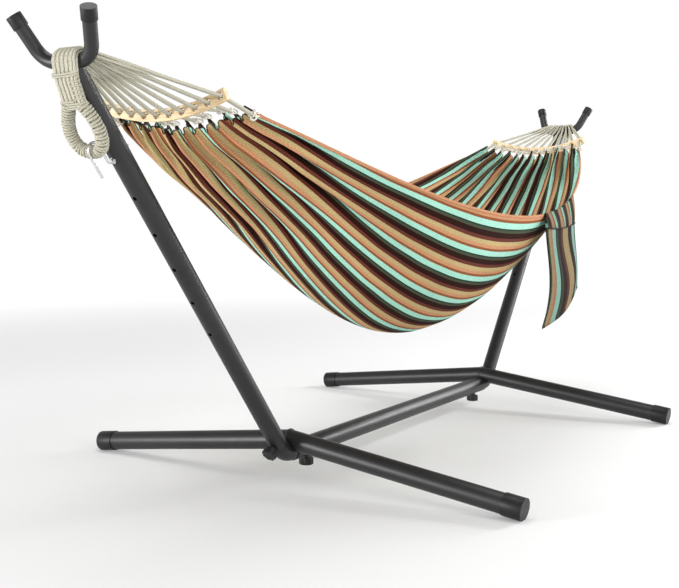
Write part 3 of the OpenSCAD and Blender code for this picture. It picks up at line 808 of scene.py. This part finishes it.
def cord_line(sign, i):
    """One doubled cord's middle line, from the neck over the saddle and through the bar to the cloth."""
    share = i / half_cords
    proud = PROUD * (-1) ** i * outside(sign)
    rise = [neck(sign, share * NECK_HALF_W, t) + proud for t in (0, 0.2, 0.4, 0.6)]
    y = share * SADDLE_HALF_W[sign] + SADDLE_SHIFT[sign]
    # every other cord rides a little higher, as the band is packed tight
    packed = WRAP_R + PACKED * (-1) ** i
    angles = range(WRAP_FROM, WRAP_TO, -WRAP_STEP)
    over = [on_hook(sign, y, math.radians(a), packed) for a in angles]
    hole = bar_hole(sign, i)
    step = np.array([sign * (BAR_T / 2 + HOLE_CLEAR), 0, 0.0015])
    knot = tie(sign, i) + np.array([sign * TAIL_OUT, 0, 0.0])
    fan = resample([over[-1], hole + step], 0.02)[1:]
    tail = resample([hole - step, knot], 0.012)
    return rounded(np.vstack([rise, over, fan, [hole], tail]), 0.005)


def doubled_cord(sign, i):
    """Two strands: one over the other on the saddle, and side by side at the bar."""
    line = cord_line(sign, i)
    tangent = unit(np.gradient(line, axis=0))
    across = unit(np.array([0, 1.0, 0]) - tangent * tangent[:, 1:2])
    over = np.cross(tangent, across) * sign
    reach = np.abs(line[:, 0])
    # 1 on the saddle, where the strands are pressed a little thinner, and 0 from the fan on
    stacked = 1 - smoothstep(0.02, 0.14, HOOK_X - reach)
    turn = (math.pi / 2) * stacked[:, None]
    offset = (across * np.cos(turn) + over * np.sin(turn)) * STRAND_R * 1.02
    radius = STRAND_R * (1 - 0.12 * stacked)
    shape = Shape()
    tube(shape, line + offset, radius, 8)
    tube(shape, line - offset, radius, 8)
    return line, shape


for end, sign in ENDS.items():
    for i in range(-half_cords, half_cords + 1):
        line, shape = doubled_cord(sign, i)
        made = shape.piece(f"doubled_cord_{end}_{i + half_cords + 1:02d}", CREAM, "cotton_cord")
        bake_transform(made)
        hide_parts(f"fan_cords_{end}", f"saddle_cords_{end}", f"tail_cords_{end}")

# ---------------------------------------------------------------- knots and loops on the cloth

KNOT_CORD_R, EYE_CORD_R = 0.0021, 0.0018
# A knot's size as a multiple of the trefoil below: one between the hems, and one at a hem
KNOT_SIZE, CORNER_KNOT_SIZE = 0.0021, 0.0034
EYE_HALF_L, EYE_HALF_W = 0.0115, 0.0052
turn = np.linspace(0, 2 * math.pi, 61)[:, None]
TREFOIL = np.hstack(
    [np.sin(3 * turn), np.sin(turn) + 2 * np.sin(2 * turn), np.cos(turn) - 2 * np.cos(2 * turn)]
)
EYE = np.hstack([EYE_HALF_L * np.cos(turn), EYE_HALF_W * np.sin(turn), 0 * turn])


def turned_about_x(points, angle):
    c, s = math.cos(angle), math.sin(angle)
    x, y, z = points.T
    return np.stack([x, y * c - z * s, y * s + z * c], 1)


for end, sign in ENDS.items():
    shape = Shape()
    for i in range(-half_cords, half_cords + 1):
        at = tie(sign, i)
        knot = turned_about_x(TREFOIL, 0.5 * math.sin(5 * i + sign))
        size = KNOT_SIZE if abs(i) < half_cords else CORNER_KNOT_SIZE
        tube(shape, at + np.array([sign * KNOT_OUT, 0, 0]) + knot * size, KNOT_CORD_R, 6)
        ring = turned_about_x(EYE, 0.9 + 0.3 * math.sin(3 * i))
        tube(shape, at + np.array([-sign * 0.001, 0, 0.001]) + ring, EYE_CORD_R, 6)
    made = shape.piece(f"tie_knots_{end}", WHITE, "white_cord", "hammock")
    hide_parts(f"cord_knots_{end}")

# ---------------------------------------------------------------- neck and loop of each rope end

# The loop's middle line, across and up from its lowest rope
LOOP_LINE = [
    (0.014, 0.098),
    (0.020, 0.086),
    (0.034, 0.062),
    (0.040, 0.036),
    (0.034, 0.014),
    (0.016, 0.002),
    (-0.008, 0.002),
    (-0.026, 0.016),
    (-0.033, 0.038),
    (-0.031, 0.062),
    (-0.023, 0.084),
    (-0.015, 0.098),
]
# The cord that whips the loop, the rope inside it, and the cords that bind and stitch the neck
WHIP_R, WHIP_PITCH = 0.0027, 0.0060
CORE_R = 0.0072
# How far a whipping turn wanders along the rope, and how far its hitch stands out
WHIP_WANDER, HITCH = 0.0007, 0.0014
BIND_R, STITCH_R = 0.0021, 0.0016
# Half the neck's thickness under its binding
NECK_HALF_T = 2 * STRAND_R + 0.0014


def winding(shape, path, seed):
    """A cord wound tightly round a rope, with a row of hitches along one side."""
    path = resample(path, 0.0008)
    at = lengths(path)
    side, other = carried_frame(path, (1, 0, 0))
    turns = at[-1] / WHIP_PITCH
    t = np.linspace(0, 1, int(turns * 20))
    angle = 2 * math.pi * turns * t
    wobble = WHIP_WANDER * np.sin(angle + 1.7 * np.sin(3.1 * angle / 6.28 + seed))
    here = np.clip(t * at[-1] + wobble, 0, at[-1])
    centre, s, o = (
        np.stack([np.interp(here, at, values[:, k]) for k in range(3)], 1)
        for values in (path, side, other)
    )
    hitch = np.exp(-(((angle + seed) % (2 * math.pi) - math.pi) ** 2) / 0.12)
    radius = (CORE_R + WHIP_R + HITCH * hitch + 0.0003 * np.sin(2.3 * angle))[:, None]
    around = np.cos(angle)[:, None] * s + np.sin(angle)[:, None] * o
    tube(shape, centre + radius * around, WHIP_R, 6)


# Under 1 makes a turn about the neck flatter than an ellipse
NECK_POWER = 0.75


def neck_wrap(shape, sign, start, turns, first, half_w, radius):
    """Cord turned round the flat neck, from an angle that is 0 at the left and 90 degrees outside."""
    angle = first + np.linspace(0, 2 * math.pi * turns, int(40 * turns) + 4)
    points = []
    for a in angle:
        t = start + (a - first) / (2 * math.pi) * 2.0 * radius / NECK_L
        w = math.copysign(abs(math.cos(a)) ** NECK_POWER, math.cos(a)) * half_w
        d = math.copysign(abs(math.sin(a)) ** NECK_POWER, math.sin(a)) * NECK_HALF_T
        points.append(neck(sign, w, t) + d * outside(sign))
    tube(shape, rounded(points, 0.002), radius, 7)


for end, sign in ENDS.items():
    shape = Shape()
    path = rounded([on_loop(sign, w, h) for w, h in LOOP_LINE], 0.003)
    tube(shape, path, CORE_R, 12)
    winding(shape, path, 2.0)
    made = shape.piece(f"whipped_loop_{end}", WHIPPING, "cotton_cord", "stand")
    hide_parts(f"anchor_loop_{end}")

    shape = Shape()
    neck_wrap(shape, sign, -0.10, 3.2, 0.5, NECK_HALF_W + 0.0052, BIND_R)
    neck_wrap(shape, sign, 0.66, 2.2, 2.6, NECK_HALF_W + 0.0048, BIND_R)
    for k in range(5):
        at = 0.14 + 0.105 * k
        neck_wrap(shape, sign, at, 0.42, math.radians(112), NECK_HALF_W + 0.0046, STITCH_R)
    made = shape.piece(f"neck_binding_{end}", WHIPPING, "cotton_cord", "stand")
    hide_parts(f"loop_neck_{end}")

# ---------------------------------------------------------------- storage bag

# The bag's nearer and further ends along the hem, and the header's height at each
BAG_X0, BAG_X1 = 0.100, 0.425
HEADER_H0, HEADER_H1 = 0.032, 0.074
SEAM_CORD_R = 0.0016
# How far the bag's top lies outside the hem line, and under it
BAG_OUT, BAG_UNDER = 0.0085, 0.001
# The drop of its foot at each end, how much that sags between, and how far the foot spreads
BAG_DROP0, BAG_DROP1 = 0.293, 0.258
FOOT_SAG, FOOT_SPREAD = 0.004, 0.020
# The heights of the pouch's two slow waves, and how far its further end curls away
WAVE_DOWN, WAVE_ACROSS = 0.0036, 0.005
POUCH_CURL = 0.008
# Half the gap between the pouch's faces at its edges, and what is added in its middle
POUCH_EDGE, POUCH_FULL = 0.0018, 0.0035
# Half the gap between the header's faces, and the height of its puckers
HEADER_EDGE, PUCKER = 0.0022, 0.0012
# How far the header's top is tucked in and up over the hem, and the slant of its stripes
HEADER_TUCK, HEADER_SLANT = 0.0055, 0.03


def bag_top(a):
    x = BAG_X0 + (BAG_X1 - BAG_X0) * a
    half_w, hem_z = hem_line(x / BED_HALF_L)
    return np.array([x, -half_w - BAG_OUT, hem_z - BAG_UNDER])


def bag_seam(a):
    return bag_top(a) - np.array([0, 0, HEADER_H0 + (HEADER_H1 - HEADER_H0) * a])


def bag_foot(a):
    drop = BAG_DROP0 + (BAG_DROP1 - BAG_DROP0) * a + FOOT_SAG * math.sin(math.pi * a)
    return bag_top(a) + np.array([FOOT_SPREAD * (2 * a - 1), 0, -drop])


def bag_point(a, b, side):
    """A point on the bag's near face (side -1) or far face (side 1), b from its seam to its foot."""
    top, foot = bag_seam(a), bag_foot(a)
    middle = math.sin(math.pi * a)
    sway = WAVE_DOWN * math.sin(5.2 * a + 2.2 * b) * b
    sway = sway + WAVE_ACROSS * math.sin(5.6 * b + 0.5) * middle
    curl = -POUCH_CURL * a * float(smoothstep(0.1, 0.8, b))
    full = POUCH_EDGE + POUCH_FULL * middle**0.6 * math.sin(math.pi * min(1.0, 0.15 + 0.8 * b))
    # the nearer edge bows towards the B end, and the far face hangs a little lower
    bow = math.sin(math.pi * 0.97 * b**1.3) * (1 - a)
    behind = b * b * max(0, side)
    out = side * full + sway + curl - 0.008 * bow
    return top + (foot - top) * b + np.array([0.028 * bow + 0.010 * behind, out, -0.006 * behind])


def bag_net(point, rows, columns, width, height, slant=0.0):
    """A net of points round both faces. UVs run along the stripes, which may slant, and across."""
    shape = Shape()
    ring = [(j / columns, -1) for j in range(columns + 1)]
    ring += [(1 - j / columns, 1) for j in range(columns + 1)]
    points = [point(a, i / rows, side) for i in range(rows + 1) for a, side in ring]
    faces, corners = net(rows + 1, len(ring), True)
    a_of = np.array([a for a, _ in ring] + [ring[0][0]])
    down = corners[..., 0] / rows
    uvs = np.stack([down * height, a_of[corners[..., 1]] * width - down * slant], -1)
    shape.add(points, faces.tolist(), uvs)
    return shape


shape = bag_net(bag_point, 48, 56, BAG_W, POUCH_H)
pouch = shape.piece("bag_pouch", BAG_CLOTH, "bag_cloth", "bag")
modify(pouch, "SOLIDIFY", thickness=BAG_THICK, offset=1.0)
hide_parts("bag_body")


def header_point(a, b, side):
    """A point on the header, b from the hem to the seam. Its top is tucked in over the hem."""
    top, foot = bag_top(a), bag_seam(a)
    full = HEADER_EDGE + PUCKER * math.sin(math.pi * b) + PUCKER * math.sin(28 * a) * b
    tucked = HEADER_TUCK * (1 - b) ** 2
    return top + (foot - top) * b + np.array([0, side * full + tucked, tucked])


shape = bag_net(header_point, 12, 90, BAG_W, height=0.05, slant=HEADER_SLANT)
header = shape.piece("bag_header_cloth", HEADER_CLOTH, "bag_cloth")
modify(header, "SOLIDIFY", thickness=BAG_THICK, offset=1.0)
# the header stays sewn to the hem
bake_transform(header)
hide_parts("bag_header")

shape = Shape()
seam_line = [bag_point(j / 20, 0.0, -1) + np.array([0, -0.0018, 0]) for j in range(21)]
tube(shape, rounded(seam_line, 0.004), SEAM_CORD_R, 7)
shape.piece("bag_seam_cord", BINDING, "bag_cloth", "bag")

# ---------------------------------------------------------------- weld beads

FOOT_R, WELD_R = 0.023, 0.0022
# The middle of the ridge where an end's two feet meet, out and up
RIDGE_X, RIDGE_Z = 0.540, 0.097

for end, sign in ENDS.items():
    shape = Shape()
    bead = []
    for k in range(61):
        a = math.pi * k / 60
        out = FOOT_R + 0.0004 * math.sin(2.4 * k)
        bead.append((sign * (RIDGE_X + out * math.cos(a)), 0, RIDGE_Z + out * math.sin(a)))
    tube(shape, bead, WELD_R, 8)
    shape.piece(f"ridge_weld_{end}", COAT, "black_steel", "stand")

# ---------------------------------------------------------------- softer edges on the hard parts

SOFT_EDGED = ("foot_cap", "prong_cap", "arm_knob", "beam_knob", "spreader_bar")
EDGE_R = 0.0012
SAME_POINT = 0.00002
BEVELLED_FROM = math.radians(40)

for part in frame["record"]["subparts"]:
    if part["node"].startswith(SOFT_EDGED):
        cad_node = frame["nodes"][part["node"]]
        modify(cad_node, "WELD", merge_threshold=SAME_POINT)
        modify(
            cad_node, "BEVEL", width=EDGE_R, segments=3, limit_method="ANGLE", angle_limit=BEVELLED_FROM
        )

# ---------------------------------------------------------------- floor and light

# The floor is pale near the object, with a faint glow of its own that lightens it and its shadows as
# painted light, and fades to glowing plain white between these distances
FADE_FROM, FADE_TO = 1.6, 4.8
FLOOR_TONE, NEAR_GLOW = 0.70, 0.13
FLOOR_HALF = 30
look = Nodes("pale_floor")
away = look.new("ShaderNodeVectorMath", operation="LENGTH")
look.link(look.at(), away.inputs[0])
spread = look.new("ShaderNodeMapRange", interpolation_type="SMOOTHSTEP")
look.link(away.outputs["Value"], spread.inputs["Value"])
spread.inputs["From Min"].default_value = FADE_FROM
spread.inputs["From Max"].default_value = FADE_TO
look.colour(look.ramp(spread.outputs[0], [(0.0, (FLOOR_TONE,) * 3), (1.0, (0.0, 0.0, 0.0))]))
look.set(roughness=0.7, specular_ior_level=0.2, emission_color=(1.0, 1.0, 1.0))
# painted light: the floor's glow, faint near the object and full far off
glow = look.remap(spread.outputs[0], NEAR_GLOW, 1.0)
look.link(glow, look.shader.inputs["Emission Strength"])
corners = [(-1, -1), (1, -1), (1, 1), (-1, 1)]
floor_mesh = bpy.data.meshes.new("floor")
floor_mesh.from_pydata([(x * FLOOR_HALF, y * FLOOR_HALF, 0) for x, y in corners], [], [(0, 1, 2, 3)])
floor_mesh.materials.append(look.material)
floor = bpy.data.objects.new("floor", floor_mesh)
bpy.context.scene.collection.objects.link(floor)

# A white surround that dims between these heights on the sky's unit sphere
DIM_FROM, DIM_TO = 0.22, 0.70
OVERHEAD_STRENGTH = 0.30
world = bpy.data.worlds.new("studio")
world.use_nodes = True
tree = world.node_tree
height = tree.nodes.new("ShaderNodeSeparateXYZ")
tree.links.new(tree.nodes.new("ShaderNodeTexCoord").outputs["Generated"], height.inputs[0])
dim = tree.nodes.new("ShaderNodeMapRange")
tree.links.new(height.outputs[2], dim.inputs["Value"])
dim.inputs["From Min"].default_value = DIM_FROM
dim.inputs["From Max"].default_value = DIM_TO
dim.inputs["To Min"].default_value = 1.0
dim.inputs["To Max"].default_value = OVERHEAD_STRENGTH
tree.nodes["Background"].inputs[0].default_value = (1.0, 1.0, 1.0, 1.0)
tree.links.new(dim.outputs[0], tree.nodes["Background"].inputs[1])
bpy.context.scene.world = world

# Each light's name, place, target, size and power in watts
LIGHTS = [
    ("key", (3.4, -1.9, 2.35), (0, 0, 0.3), 0.9, 80),
    ("side_strip", (4.2, -2.6, 1.3), (0, 0, 0.2), 1.2, 105),
    ("front_fill", (-4.8, -2.6, 2.2), (0, 0, 0.4), 3.0, 25),
    ("right_fill", (-1.6, -4.8, 1.6), (0, 0, 0.4), 3.0, 110),
    ("low_left", (-4.4, 2.6, 0.7), (-0.5, 0, 0.2), 1.2, 160),
    ("overhead", (0.0, 0.5, 4.0), (0, 0, 0), 2.5, 60),
]


def soft_light(name, at, target, size, power):
    data = bpy.data.lights.new(name, "AREA")
    data.shape = "DISK"
    data.size = size
    data.energy = power
    light = bpy.data.objects.new(name, data)
    light.location = at
    light.rotation_euler = (Vector(target) - Vector(at)).to_track_quat("-Z", "Y").to_euler()
    bpy.context.scene.collection.objects.link(light)


for light_settings in LIGHTS:
    soft_light(*light_settings)
bpy.context.scene.view_settings.view_transform = "Standard"
